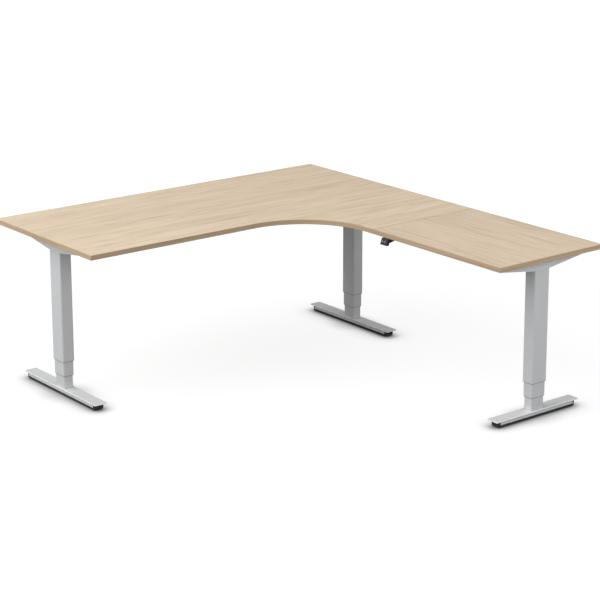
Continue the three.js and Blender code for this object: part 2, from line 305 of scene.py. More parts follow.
def oak_laminate(name, along, tone=1.0):
    """Light oak print with straight grain along X or Y, in a satin matt face."""
    shader = Shader(name, specular_ior_level=0.3)
    # a tone below 1 darkens the whole board: painted shade
    light = shade(colours().oak_light, tone)
    dark = shade(colours().oak_dark, tone)
    straight = {"X": (1, 0), "Y": (0, 1)}[along]
    wander = shader.noise(shader.place([1.1 if s else 2.6 for s in (*straight, 0)]), detail=2.0)
    sideways = wander * 0.05
    offset = shader.node("ShaderNodeCombineXYZ", [sideways * (1 - s) for s in straight])
    place = shader.node("ShaderNodeVectorMath", [shader.place(), offset], operation="ADD")

    def grain(length, width, detail, roughness=0.5):
        """Figure of the wood, by the length and width of one patch in metres."""
        scale = [1 / length if s else 1 / width for s in (*straight, 0)]
        scaled = shader.node("ShaderNodeVectorMath", [place, scale], operation="MULTIPLY")
        return shader.noise(scaled, detail=detail, roughness=roughness)

    boards = shader.stretch(grain(1.9, 0.085, 2.0), 0.30, 0.70)
    streaks = shader.stretch(grain(0.34, 0.015, 3.0, 0.6), 0.30, 0.70)
    dark_lines = shader.stretch(grain(0.21, 0.0085, 3.0, 0.6), 0.28, 0.48)
    fibres = shader.stretch(grain(0.10, 0.0024, 2.0, 0.7), 0.28, 0.72)
    pores = shader.stretch(grain(0.022, 0.0008, 1.0), 0.60, 0.74)
    depth = boards * 0.14 + streaks * 0.30 + fibres * 0.14 + dark_lines * 0.42
    colour = shader.mix(shader.stretch(depth, 0.10, 0.86), dark, light)
    colour = shader.mix(pores * 0.14, colour, shade(dark, 0.5))
    roughness = shader.stretch(fibres, 0, 1, 0.62, 0.54)
    relief = shader.bump(fibres * 0.5 - pores * 0.8, 0.10, 0.00025)
    return shader.wear(base_color=colour, roughness=roughness, normal=relief)


def oak_band(name):
    """Edge band print: streaks that run level round every edge."""
    shader = Shader(name, specular_ior_level=0.4)
    tint = colours()
    streaks = shader.noise(shader.place((2.4, 2.4, 210)), detail=3.0, roughness=0.6)
    fibres = shader.stretch(shader.noise(shader.place((9, 9, 900)), detail=2.0), 0.3, 0.7)
    depth = shader.stretch(streaks, 0.32, 0.68) * 0.7 + fibres * 0.3
    colour = shader.mix(depth, tint.band_dark, tint.band_light)
    roughness = shader.stretch(fibres, 0, 1, 0.52, 0.42)
    return shader.wear(base_color=colour, roughness=roughness, normal=shader.bump(fibres, 0.08, 0.0002))


def powder_coat(name, colour, roughness):
    """Silver powder coat: fine orange peel and a faint metallic mottle."""
    shader = Shader(name, metallic=0.30, coat_weight=0.05, coat_roughness=0.35)
    peel = shader.noise(shader.place(), scale=520, detail=2.0, roughness=0.6)
    flake = shader.noise(shader.place(), scale=3800, detail=1.0)
    mottle = shader.noise(shader.place(), scale=14)
    sparkle = shader.stretch(flake, 0.35, 0.65)
    tone = shader.mix(sparkle, shade(colour, 0.94), shade(colour, 1.05))
    tone = shader.mix(shader.stretch(mottle, 0.3, 0.7, 0.0, 0.10), tone, shade(colour, 0.86))
    rough = shader.stretch(mottle, 0.3, 0.7, roughness - 0.03, roughness + 0.05)
    relief = shader.bump(peel * 0.7 + flake * 0.3, 0.10, 0.00012)
    return shader.wear(base_color=tone, roughness=rough, normal=relief)


def drawn_metal(name, colour, along, roughness, metallic=1.0):
    """Metal with fine draw lines along one axis, bare or under a clear anodised skin."""
    shader = Shader(name, metallic=metallic)
    lines = shader.noise(shader.place([12 if axis == along else 1400 for axis in "XYZ"]), detail=2.0)
    stain = shader.noise(shader.place(), scale=18)
    tone = shader.mix(lines, shade(colour, 0.86), shade(colour, 1.06))
    rough = shader.stretch(lines * 0.6 + stain * 0.4, 0.3, 0.7, roughness - 0.05, roughness + 0.09)
    return shader.wear(base_color=tone, roughness=rough, normal=shader.bump(lines, 0.12, 0.00008))


def moulded(name, colour, roughness=0.48, grain=1500, shine=0.45):
    """Moulded plastic with a fine spark-eroded texture and light scuffs."""
    shader = Shader(name, specular_ior_level=shine)
    pits = shader.node(
        "ShaderNodeTexVoronoi", {"Vector": shader.place(), "Scale": grain}, out="Distance")
    scuff = shader.noise(shader.place((30, 30, 60)), detail=4.0, roughness=0.65)
    worn = shader.stretch(scuff, 0.56, 0.78, 0.0, 0.35)
    tone = shader.mix(worn, colour, [min(1.0, 1.9 * c + 0.01) for c in colour])
    rough = shader.stretch(scuff, 0.3, 0.7, roughness + 0.05, roughness - 0.05)
    return shader.wear(base_color=tone, roughness=rough, normal=shader.bump(pits, 0.18, 0.0001))


def zinc(name, colour):
    """Zinc plated steel with its faint crystal spangle."""
    shader = Shader(name, metallic=1.0)
    spangle = shader.node(
        "ShaderNodeTexVoronoi", {"Vector": shader.place(), "Scale": 160}, out="Color")
    shine = shader.node("ShaderNodeSeparateColor", [spangle])
    tone = shader.mix(shader.stretch(shine, 0, 1, 0.0, 0.5), colour, shade(colour, 0.78))
    return shader.wear(base_color=tone, roughness=shader.stretch(shine, 0, 1, 0.30, 0.46))


def threaded(name, colour, pitch):
    """Turned metal with thread flanks that ring the Z axis, and painted shade in each thread's root."""
    shader = Shader(name, metallic=1.0)
    height = shader.node("ShaderNodeSeparateXYZ", [shader.place((1, 1, 1 / pitch))], out=2)
    flank = height.sum("PINGPONG", height, 0.5)
    grease = shader.noise(shader.place(), scale=60)
    # each thread's root is painted darker than its crest: painted shade in the groove
    tone = shader.mix(shader.stretch(flank, 0.0, 0.5), shade(colour, 0.55), colour)
    rough = shader.stretch(grease, 0.3, 0.7, 0.22, 0.42)
    return shader.wear(base_color=tone, roughness=rough, normal=shader.bump(flank, 0.8, 0.0012))


def printed_mark(name, colour):
    """Light print on the buttons, a little worn."""
    shader = Shader(name, specular_ior_level=0.4)
    wear = shader.noise(shader.place(), scale=900)
    tone = shader.mix(shader.stretch(wear, 0.45, 0.75, 0.0, 0.5), colour, shade(colour, 0.6))
    return shader.wear(base_color=tone, roughness=shader.stretch(wear, 0.3, 0.7, 0.4, 0.55))


ALUMINIUM = (0.62, 0.63, 0.645)
FINISHES = {
    "main_oak": lambda name: oak_laminate(name, "X"),
    # the extension board is a darker copy of the main oak: painted shade
    "extension_oak": lambda name: oak_laminate(name, "Y", 0.94),
    "band_oak": oak_band,
    "silver_coat": lambda name: powder_coat(name, colours().silver, 0.52),
    # a brighter copy of the silver coat for the foot plates' sides: a painted highlight
    "silver_edge": lambda name: powder_coat(name, shade(colours().silver, 1.45), 0.26),
    "column_coat": lambda name: powder_coat(name, colours().column, 0.46),
    "rail_along_x": lambda name: drawn_metal(name, ALUMINIUM, "X", 0.40, 0.35),
    "rail_along_y": lambda name: drawn_metal(name, ALUMINIUM, "Y", 0.40, 0.35),
    "black_moulding": lambda name: moulded(name, colours().black, 0.60, shine=0.10),
    "glide_plastic": lambda name: moulded(name, (0.025, 0.025, 0.027), shine=0.25),
    "collar_plastic": lambda name: moulded(name, (0.100, 0.103, 0.108), 0.42),
    "dark_housing": lambda name: moulded(name, (0.030, 0.031, 0.034)),
    "handset_shell": lambda name: moulded(name, colours().black, 0.45, 2200, 0.25),
    "button_rubber": lambda name: moulded(name, (0.040, 0.041, 0.045), 0.58, 2600),
    "button_print": lambda name: printed_mark(name, colours().mark),
    "socket_dark": lambda name: moulded(name, (0.008, 0.008, 0.009), 0.60),
    "zinc_steel": lambda name: zinc(name, (0.50, 0.51, 0.53)),
    "screw_steel": lambda name: zinc(name, (0.42, 0.43, 0.45)),
    "spindle_thread": lambda name: threaded(name, (0.55, 0.56, 0.58), 4 * MM),
    "nut_brass": lambda name: threaded(name, (0.66, 0.49, 0.22), 2 * MM),
    "contact_metal": lambda name: drawn_metal(name, (0.72, 0.56, 0.28), "Y", 0.25),
}


def finish(name):
    """The finish of that name, made when it is first asked for."""
    return bpy.data.materials.get(name) or FINISHES[name](name)


def colours():
    return bpy.context.scene.desk_colours


def sizes():
    return bpy.context.scene.desk_sizes


# ---------------------------------------------------------------- mesh work

def outline(points):
    """A new bmesh with one flat face through points in X and Y."""
    bm = bmesh.new()
    bm.faces.new([bm.verts.new((x, y, 0)) for x, y in points])
    bm.normal_update()
    return bm


def rectangle(length, width):
    x, y = length / 2, width / 2
    return [(-x, -y), (x, -y), (x, y), (-x, y)]


def pull(bm, faces, offset):
    """Extrudes faces by an offset."""
    edges = dict.fromkeys(e for f in faces for e in f.edges)
    grown = bmesh.ops.extrude_face_region(bm, geom=[*faces, *edges])["geom"]
    far_verts = [g for g in grown if isinstance(g, bmesh.types.BMVert)]
    bmesh.ops.translate(bm, verts=far_verts, vec=Vector(offset))


def round_corners(bm, radius, steps=6, verts=None):
    """Rounds the corners of a flat outline."""
    bmesh.ops.bevel(bm, geom=list(verts or bm.verts), offset=radius, segments=steps,
                    profile=0.5, affect="VERTICES", material=-1)


def round_edges(bm, radius, steps=2, above=50, where=lambda edge: True):
    """Rounds the edges where faces meet at more than an angle in degrees."""
    bmesh.ops.recalc_face_normals(bm, faces=bm.faces)
    limit = math.radians(above)
    chosen = [e for e in bm.edges if e.is_manifold and e.calc_face_angle(0) > limit and where(e)]
    bmesh.ops.bevel(bm, geom=chosen, offset=radius, segments=steps, profile=0.5,
                    affect="EDGES", material=-1, clamp_overlap=True)


def inset(bm, faces, width):
    """Draws flat faces in by a width. Returns the rim's faces, then the faces left inside it."""
    rim = bmesh.ops.inset_region(
        bm, faces=faces, thickness=width, use_boundary=True, use_even_offset=True)["faces"]
    return rim, [f for f in faces if f.is_valid and f not in rim]


def open_ring(bm, wall):
    """Leaves only the rim of a flat outline, one wall wide."""
    middle = inset(bm, bm.faces[:], wall)[1]
    bmesh.ops.delete(bm, geom=middle, context="FACES")


def prism(length, width, height, radius=0.0, rim=0.0, steps=6):
    """A closed prism with rounded corners and rims, standing on Z 0."""
    bm = outline(rectangle(length, width))
    if radius:
        round_corners(bm, radius, steps)
    pull(bm, bm.faces, (0, 0, height))
    if rim:
        round_edges(bm, rim)
    return bm


def slab(low, high, radius, rim):
    """A prism that fills a box, with rounded corners and rims."""
    size, middle = high - low, (low + high) / 2
    return moved(prism(size.x, size.y, size.z, radius, rim), (middle.x, middle.y, low.z))


def tube(length, width, height, radius, wall, rim):
    """A hollow rounded section, open at both ends, standing on Z 0."""
    bm = outline(rectangle(length, width))
    round_corners(bm, radius)
    open_ring(bm, wall)
    pull(bm, bm.faces, (0, 0, height))
    round_edges(bm, rim)
    return bm


def turned(profile, steps=32):
    """Spins a profile of (radius, height) pairs round Z into a closed form."""
    bm = bmesh.new()
    verts = [bm.verts.new((r, 0, z)) for r, z in profile]
    edges = [bm.edges.new(pair) for pair in zip(verts, verts[1:])]
    bmesh.ops.spin(bm, geom=verts + edges, cent=(0, 0, 0), axis=(0, 0, 1), dvec=(0, 0, 0),
                   angle=2 * math.pi, steps=steps, use_merge=True, use_duplicate=False)
    bmesh.ops.remove_doubles(bm, verts=bm.verts, dist=1e-6)
    bmesh.ops.recalc_face_normals(bm, faces=bm.faces)
    return bm


def quarter_turn(axis):
    return Matrix.Rotation(math.radians(90), 3, axis)


def moved(bm, place, turn=None):
    """Turns a bmesh by a matrix and moves it to a place."""
    if turn is not None:
        bmesh.ops.rotate(bm, verts=bm.verts, cent=(0, 0, 0), matrix=turn)
    bmesh.ops.translate(bm, verts=bm.verts, vec=Vector(place))
    return bm


def painted(bm, index):
    """Gives every face one of the piece's materials."""
    for face in bm.faces:
        face.material_index = index
    return bm


def joined(first, *others):
    """Puts other bmeshes into the first and frees them."""
    for bm in others:
        spare = bpy.data.meshes.new("spare")
        bm.to_mesh(spare)
        bm.free()
        first.from_mesh(spare)
        bpy.data.meshes.remove(spare)
    return first


def window(bm, middle, across, up, width, height):
    """Cuts a rectangle in a flat face and returns the faces inside it. Its middle is on the face."""
    out = across.cross(up)

    def flat():
        return [f for f in bm.faces if abs(f.normal.dot(out)) > 0.999
                and abs((f.calc_center_median() - middle).dot(out)) < 0.05 * MM]

    bm.normal_update()
    for axis, half in ((across, width / 2), (up, height / 2)):
        for side in (-half, half):
            cut = dict.fromkeys(part for f in flat() for part in (f, *f.verts, *f.edges))
            bmesh.ops.bisect_plane(bm, geom=list(cut), plane_co=middle + side * axis, plane_no=axis)
    inside = []
    for f in flat():
        away = f.calc_center_median() - middle
        if abs(away.dot(across)) < width / 2 and abs(away.dot(up)) < height / 2:
            inside.append(f)
    return inside


def make_piece(bm, name, finishes, body, slot, *nodes, leg=None):
    """Turns a bmesh into a named piece that rides on a body and stands for CAD nodes."""
    if leg:
        moved(bm, leg.place, Matrix.Rotation(leg.turn, 3, "Z"))
    bmesh.ops.recalc_face_normals(bm, faces=bm.faces)
    for face in bm.faces:
        face.smooth = True
    for edge in bm.edges:
        edge.smooth = edge.is_manifold and edge.calc_face_angle(0) < SHARP
    mesh = bpy.data.meshes.new(name)
    bm.to_mesh(mesh)
    bm.free()
    for one in finishes.split():
        mesh.materials.append(finish(one))
    piece = bpy.data.objects.new(name, mesh)
    bpy.context.scene.collection.objects.link(piece)
    piece.modifiers.new("Face normals", "WEIGHTED_NORMAL").keep_sharp = True
    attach(piece, body)
    if nodes:
        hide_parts(*nodes)


def screw_head(radius, height, place):
    """A pan head with a round drive recess, looking down."""
    profile = [(0, 0), (radius, 0), (radius, 0.45 * height), (0.93 * radius, 0.8 * height),
               (0.75 * radius, height), (0.45 * radius, height), (0.40 * radius, 0.5 * height),
               (0, 0.45 * height)]
    turn = Z.rotation_difference(-Z).to_matrix()
    return moved(turned(profile, 18), place, turn)


def four_corners(x, y):
    """Places on both sides of a middle, in X and in Y."""
    return [(side * x, end * y, 0) for side in (-1, 1) for end in (-1, 1)]


def screw_row(places, radius=4.5 * MM, height=2.6 * MM, index=1):
    """Screw heads that look down, with the material of that index."""
    return [painted(screw_head(radius, height, place), index) for place in places]


class Leg:
    """A leg's place and turn. Its own X runs along the foot."""

    def __init__(self, name):
        self.name = name
        low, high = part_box(f"foot_plate_{name}")
        self.place = Vector(((low.x + high.x) / 2, (low.y + high.y) / 2, 0))
        self.turn = math.radians(90) if high.y - low.y > high.x - low.x else 0.0

    def node(self, pattern):
        return pattern.format(self.name)

    def box(self, pattern):
        """Lowest and highest corner of one of the leg's CAD nodes, in the leg's own directions."""
        back = Matrix.Rotation(-self.turn, 3, "Z")
        ends = [back @ (corner - self.place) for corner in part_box(self.node(pattern))]
        return Vector(map(min, *ends)), Vector(map(max, *ends))


LEGS = [Leg(name) for name in LEG_NAMES]


# ---------------------------------------------------------------- pieces

class DESK_OT_desktop(bpy.types.Operator):
    """Builds the two desktop boards and their glued edge bands"""
    bl_idname = "desk.desktop"
    bl_label = "Desktop"

    def execute(self, context):
        for end in ("main", "extension"):
            low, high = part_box(f"edge_band_{end}")
            board = self.panel(end, low, high)
            rim = inset(board, board.faces[:], sizes().band)[0]
            bmesh.ops.delete(board, geom=rim, context="FACES")
            pull(board, board.faces, (0, 0, high.z - low.z))
            moved(board, (0, 0, low.z))
            make_piece(board, f"{end}_board", f"{end}_oak", "desk_top", "desktop_laminate",
                       f"desktop_{end}")

            band = self.panel(end, low, high)
            open_ring(band, sizes().band)
            pull(band, band.faces, (0, 0, high.z - low.z))
            inside = {v for v in band.verts if self.is_inside(v.co, low, high)}
            round_edges(band, sizes().band_round, 3, where=lambda e: not inside.issuperset(e.verts))
            moved(band, (0, 0, low.z))
            make_piece(band, f"{end}_edge_band", "band_oak", "desk_top", "edge_laminate",
                       f"edge_band_{end}")
        return {"FINISHED"}

    def panel(self, end, low, high):
        """The panel's outline. The main panel has a hollow curve in its inner corner."""
        if end == "extension":
            return outline([(low.x, low.y), (high.x, low.y), (high.x, high.y), (low.x, high.y)])
        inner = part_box("edge_band_extension")[0].x
        front = high.y - sizes().main_depth
        bm = outline([
            (low.x, front), (inner, front), (inner, low.y),
            (high.x, low.y), (high.x, high.y), (low.x, high.y)])
        corner = [v for v in bm.verts if (v.co - Vector((inner, front, 0))).length < MM]
        round_corners(bm, sizes().hollow_radius, sizes().hollow_steps, corner)
        return bm

    def is_inside(self, co, low, high):
        """Whether a point is on the side of the band that is glued to the board."""
        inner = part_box("edge_band_extension")[0].x
        front = high.y - sizes().main_depth
        edge = sizes().band / 2
        straight = min(co.x - low.x, high.x - co.x, high.y - co.y, co.y - low.y)
        if high.y - low.y < sizes().main_depth + edge:
            return straight > edge
        radius = sizes().hollow_radius
        off = Vector((co.x - inner + radius, co.y - front + radius))
        if off.x > 0 and off.y > 0 and off.length < radius * 1.4:
            return straight > edge and off.length - radius > edge
        return straight > edge and not (co.x < inner and co.y - front < edge) and not (
            co.y < front and co.x - inner < edge)


class DESK_OT_columns(bpy.types.Operator):
    """Builds the three tubes of each lifting column and the slide collars between them"""
    bl_idname = "desk.columns"
    bl_label = "Columns"

    # the body of each tube, and the radius of its corners
    stages = {
        "outer_tube": ("desk_top", 7.0 * MM),
        "middle_tube": ("middle_stages", 5.5 * MM),
        "inner_tube": ("feet", 4.5 * MM),
    }
    # the body of each collar, and the tube that slides in it
    collars = {
        "upper_slide_collar": ("desk_top", "middle_tube"),
        "lower_slide_collar": ("middle_stages", "inner_tube"),
    }

    def execute(self, context):
        for leg in LEGS:
            for stage, (body, radius) in self.stages.items():
                low, high = leg.box(stage + "_{}")
                size = high - low
                bm = tube(size.x, size.y, size.z, radius, sizes().tube_wall, sizes().rim)
                moved(bm, (0, 0, low.z))
                make_piece(bm, f"{leg.name}_{stage}", "column_coat", body, "column_coat",
                           leg.node(stage + "_{}"), leg=leg)
            for collar, (body, inside) in self.collars.items():
                bm = self.collar(leg, collar, inside)
                make_piece(bm, f"{leg.name}_{collar}", "collar_plastic", body, "collar_plastic",
                           leg.node(collar + "_{}"), leg=leg)
        return {"FINISHED"}

    def collar(self, leg, collar, inside):
        """A lip that shows under the tube, and a sleeve above it that the inner tube slides in."""
        low, high = leg.box(collar + "_{}")
        bore = leg.box(inside + "_{}")[1].x + GAP
        lip_height, step, rim = 1.9 * MM, 1.1 * MM, 0.35 * MM
        bm = outline(rectangle(high.x - low.x, high.y - low.y))
        round_corners(bm, self.stages[inside][1])
        inner = inset(bm, bm.faces[:], step)[1]
        middle = inset(bm, inner, high.x - step - bore)[1]
        bmesh.ops.delete(bm, geom=middle, context="FACES")
        pull(bm, bm.faces, (0, 0, lip_height))
        bm.normal_update()
        top = [f for f in bm.faces if min(v.co.z for v in f.verts) > lip_height / 2]
        reach, side_reach = high.x - step / 2, high.y - step / 2
        inner_top = [f for f in top if all(
            abs(v.co.x) < reach and abs(v.co.y) < side_reach for v in f.verts)]
        pull(bm, inner_top, (0, 0, high.z - low.z - lip_height))
        round_edges(bm, rim)
        return moved(bm, (0, 0, low.z))


class DESK_OT_feet(bpy.types.Operator):
    """Builds each foot: silver plate, grooved rail, black base and two levelling glides"""
    bl_idname = "desk.feet"
    bl_label = "Feet"

    plate_corner, plate_rim = 5 * MM, 1.1 * MM
    rail_sheet, rail_groove, rail_rim = 3 * MM, 1.6 * MM, 0.25 * MM
    base_corner, base_rim = 8 * MM, 0.9 * MM
    glide_stem = 3.7 * MM

    def execute(self, context):
        for leg in LEGS:
            self.plate(leg)
            self.rail(leg)
            self.base(leg)
            for end in "ab":
                self.glide(leg, "levelling_glide_{}_" + end)
        return {"FINISHED"}

    def plate(self, leg):
        """A flat plate whose sides and rims wear a brighter copy of its coat, a painted highlight."""
        low, high = leg.box("foot_plate_{}")
        size = high - low
        bm = prism(size.x, size.y, size.z, self.plate_corner, self.plate_rim, 8)
        moved(bm, (0, 0, low.z))
        bm.normal_update()
        # the sides and rims get the brighter coat: a painted highlight
        for face in bm.faces:
            face.material_index = 0 if abs(face.normal.z) > 0.95 else 1
        make_piece(bm, f"{leg.name}_foot_plate", "silver_coat silver_edge", "feet", "silver_coat",
                   leg.node("foot_plate_{}"), leg=leg)

    def rail(self, leg):
        """An extruded aluminium channel, open below, with a shallow groove along each side."""
        low, high = leg.box("foot_rail_{}")
        height, half, sheet, groove = high.z - low.z, high.y, self.rail_sheet, self.rail_groove
        side = [(half, 0), (half, 0.30 * height), (half - groove, 0.38 * height),
                (half - groove, 0.62 * height), (half, 0.70 * height), (half, height)]
        points = side + [(-y, z) for y, z in reversed(side)]
        points += [(sheet - half, 0), (sheet - half, height - sheet),
                   (half - sheet, height - sheet), (half - sheet, 0)]
        bm = outline(points)
        pull(bm, bm.faces, (0, 0, high.x - low.x))
        round_edges(bm, self.rail_rim, 1)
        moved(bm, (low.x, 0, low.z), quarter_turn("Z") @ quarter_turn("X"))
        along = "y" if leg.turn else "x"
        make_piece(bm, f"{leg.name}_foot_rail", f"rail_along_{along}", "feet", "rail_aluminium",
                   leg.node("foot_rail_{}"), leg=leg)

    def base(self, leg):
        """A black moulded trough whose rounded ends rise to the foot plate."""
        low, high = leg.box("foot_base_{}")
        rail_low, rail_high = leg.box("foot_rail_{}")
        size = high - low
        trough = rail_low.z - low.z - GAP
        bm = outline(rectangle(size.x, size.y))
        round_corners(bm, self.base_corner, 10)
        pull(bm, bm.faces, (0, 0, trough))
        bm.normal_update()
        for end in (-1, 1):
            geom = bm.verts[:] + bm.edges[:] + bm.faces[:]
            cut = Vector((end * (rail_high.x + GAP), 0, 0))
            bmesh.ops.bisect_plane(bm, geom=geom, plane_co=cut, plane_no=X)
        bmesh.ops.recalc_face_normals(bm, faces=bm.faces)
        raised = [f for f in bm.faces
                  if f.normal.z > 0.9 and abs(f.calc_center_median().x) > rail_high.x]
        pull(bm, raised, (0, 0, size.z - trough))
        round_edges(bm, self.base_rim, 3)
        moved(bm, (0, 0, low.z))
        make_piece(bm, f"{leg.name}_foot_base", "black_moulding", "feet", "black_moulding",
                   leg.node("foot_base_{}"), leg=leg)

    def glide(self, leg, pattern):
        """A round foot with a soft edge, under its adjusting stem."""
        low, high = leg.box(pattern)
        pad, stem = (high.x - low.x) / 2, self.glide_stem
        top = leg.box("foot_base_{}")[0].z - GAP
        profile = [(0, 0), (0.90 * pad, 0), (0.97 * pad, 0.08 * top), (pad, 0.22 * top),
                   (pad, 0.60 * top), (0.96 * pad, 0.74 * top), (0.86 * pad, 0.86 * top),
                   (0.50 * pad, 0.93 * top), (0.46 * pad, top), (stem, top), (stem, high.z),
                   (0, high.z)]
        bm = moved(turned(profile, 40), ((low.x + high.x) / 2, 0, low.z))
        make_piece(bm, leg.node(pattern.replace("levelling_glide_{}", "{}_levelling_glide")),
                   "glide_plastic", "feet", "glide_plastic", leg.node(pattern), leg=leg)


class DESK_OT_brackets(bpy.types.Operator):
    """Builds the folded support bracket on each column's head, with its screws"""
    bl_idname = "desk.brackets"
    bl_label = "Support brackets"

    slope = 0.145  # rise of the lower edges, for each metre towards the tips
    screws_from_tip = 30 * MM, 110 * MM

    def execute(self, context):
        for leg in LEGS:
            low, high = leg.box("support_bracket_{}")
            level = leg.box("outer_tube_{}")[1].x
            bm = self.channel(low, high, level)
            plate_width = high.y - low.y - 2 * sizes().sheet
            plate = moved(prism(2 * level, plate_width, sizes().sheet), (0, 0, low.z))
            places = [(end * (high.x - back), 0, high.z - sizes().sheet)
                      for end in (-1, 1) for back in self.screws_from_tip]
            make_piece(joined(bm, plate, *screw_row(places)), f"{leg.name}_support_bracket",
                       "silver_coat screw_steel", "desk_top", "silver_coat",
                       leg.node("support_bracket_{}"), leg=leg)
        return {"FINISHED"}

    def channel(self, low, high, level):
        """A sheet folded down on all four sides, whose lower edges rise towards the tips."""
        tip = (high.x - level) * self.slope
        depth = high.z - low.z
        bm = outline([(-high.x, tip), (-level, 0), (level, 0), (high.x, tip),
                      (high.x, depth), (-high.x, depth)])
        pull(bm, bm.faces, (0, 0, high.y - low.y))
        moved(bm, (0, high.y, low.z), quarter_turn("X"))
        bmesh.ops.recalc_face_normals(bm, faces=bm.faces)
        below = [f for f in bm.faces if f.normal.z < -0.5]
        bmesh.ops.delete(bm, geom=below, context="FACES")
        folds = [e for e in bm.edges if e.is_manifold and e.calc_face_angle(0) > 1]
        bmesh.ops.bevel(bm, geom=folds, offset=sizes().fold, segments=4, profile=0.5,
                        affect="EDGES", material=-1, clamp_overlap=True)
        bmesh.ops.recalc_face_normals(bm, faces=bm.faces)
        bmesh.ops.solidify(bm, geom=bm.faces[:], thickness=sizes().sheet)
        return bm


class DESK_OT_beams(bpy.types.Operator):
    """Builds the two crossbeams and the plates that join the desktop panels"""
    bl_idname = "desk.beams"
    bl_label = "Beams and joining plates"

    beam_corner, beam_wall, beam_rim = 4 * MM, 2 * MM, 0.3 * MM
    beam_screws = -0.46, -0.23, 0.0, 0.23, 0.46
    plate_corner, plate_rim = 8 * MM, 0.4 * MM

    def execute(self, context):
        self.beam("main", X)
        self.beam("extension", Y)
        for side in ("inner", "outer"):
            self.joining_plate(side)
        return {"FINISHED"}

    def beam(self, end, along):
        """A rectangular tube under one wing, with screws in a row along it."""
        low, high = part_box(f"crossbeam_{end}")
        size, middle = high - low, (low + high) / 2
        reach = size.dot(along)
        across = X if along is Y else Y
        bm = tube(size.z, size.dot(across), reach, self.beam_corner, self.beam_wall, self.beam_rim)
        moved(bm, (0, 0, -reach / 2))
        lay_down = quarter_turn("Y")
        if along is Y:
            lay_down = quarter_turn("Z") @ lay_down
        moved(bm, middle, lay_down)
        below = Vector((middle.x, middle.y, low.z))
        places = [below + along * reach * share for share in self.beam_screws]
        make_piece(joined(bm, *screw_row(places)), f"{end}_crossbeam", "silver_coat screw_steel",
                   "desk_top", "silver_coat", f"crossbeam_{end}")

    def joining_plate(self, side):
        node = f"joining_plate_{side}"
        low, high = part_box(node)
        size, middle = high - low, (low + high) / 2
        bm = slab(low, high, self.plate_corner, self.plate_rim)
        places = [(middle.x + x * 0.28 * size.x, middle.y + y * size.y, low.z)
                  for x in (-1, 1) for y in (-0.42, -0.20, 0.20, 0.42)]
        make_piece(joined(bm, *screw_row(places, 4 * MM, 2 * MM)), f"{side}_joining_plate",
                   "zinc_steel screw_steel", "desk_top", "plain_steel", node)


class DESK_OT_drives(bpy.types.Operator):
    """Builds the drive units and gives the spindles and nuts their bare metal"""
    bl_idname = "desk.drives"
    bl_label = "Drives and spindles"

    box_corner, box_rim = 6 * MM, 1.2 * MM
    flange_step, flange_height, flange_rim = 1 * MM, 2 * MM, 0.4 * MM
    motor_radius, motor_sunk, motor_below_top = 15.5 * MM, 4 * MM, 16 * MM
    screw_inset = 7 * MM

    def execute(self, context):
        for leg in LEGS:
            low, high = leg.box("drive_unit_{}")
            half, depth, height = -low.x, high.y - low.y, high.z - low.z
            gearbox = prism(2 * half, depth, height, self.box_corner, self.box_rim)
            flange = prism(2 * half + self.flange_step, depth + self.flange_step,
                           self.flange_height, self.box_corner, self.flange_rim)
            moved(flange, (0, 0, 0.55 * height))
            motor = self.motor(high.x - half + self.motor_sunk, self.motor_radius)
            moved(motor, (half - self.motor_sunk, 0, height - self.motor_below_top), quarter_turn("Y"))
            corners = four_corners(half - self.screw_inset, depth / 2 - self.screw_inset)
            bm = joined(gearbox, flange, motor, *screw_row(corners, 3 * MM, 0.2 * MM))
            moved(bm, (0, 0, low.z))
            make_piece(bm, f"{leg.name}_drive_unit", "dark_housing screw_steel", "desk_top",
                       "dark_housing", leg.node("drive_unit_{}"), leg=leg)
            for node in ("drive_spindle_{}", "hollow_spindle_{}"):
                repaint(leg.node(node), "spindle_thread")
            repaint(leg.node("spindle_nut_{}"), "nut_brass")
        return {"FINISHED"}

    def motor(self, length, radius):
        """A round motor can with two rolled grooves and an end cap."""
        groove = radius - 0.8 * MM
        profile = [(0, 0), (radius, 0)]
        for at in (0.18 * length, 0.80 * length):
            profile += [(radius, at), (groove, at + 0.8 * MM), (groove, at + 2 * MM),
                        (radius, at + 2.8 * MM)]
        profile += [(radius, length - 2 * MM), (radius - 1.5 * MM, length),
                    (0.4 * radius, length), (0, length)]
        return turned(profile, 40)


def repaint(node, name):
    """Gives a CAD node a finish."""
    materials = frame["nodes"][node].data.materials
    materials.clear()
    materials.append(finish(name))


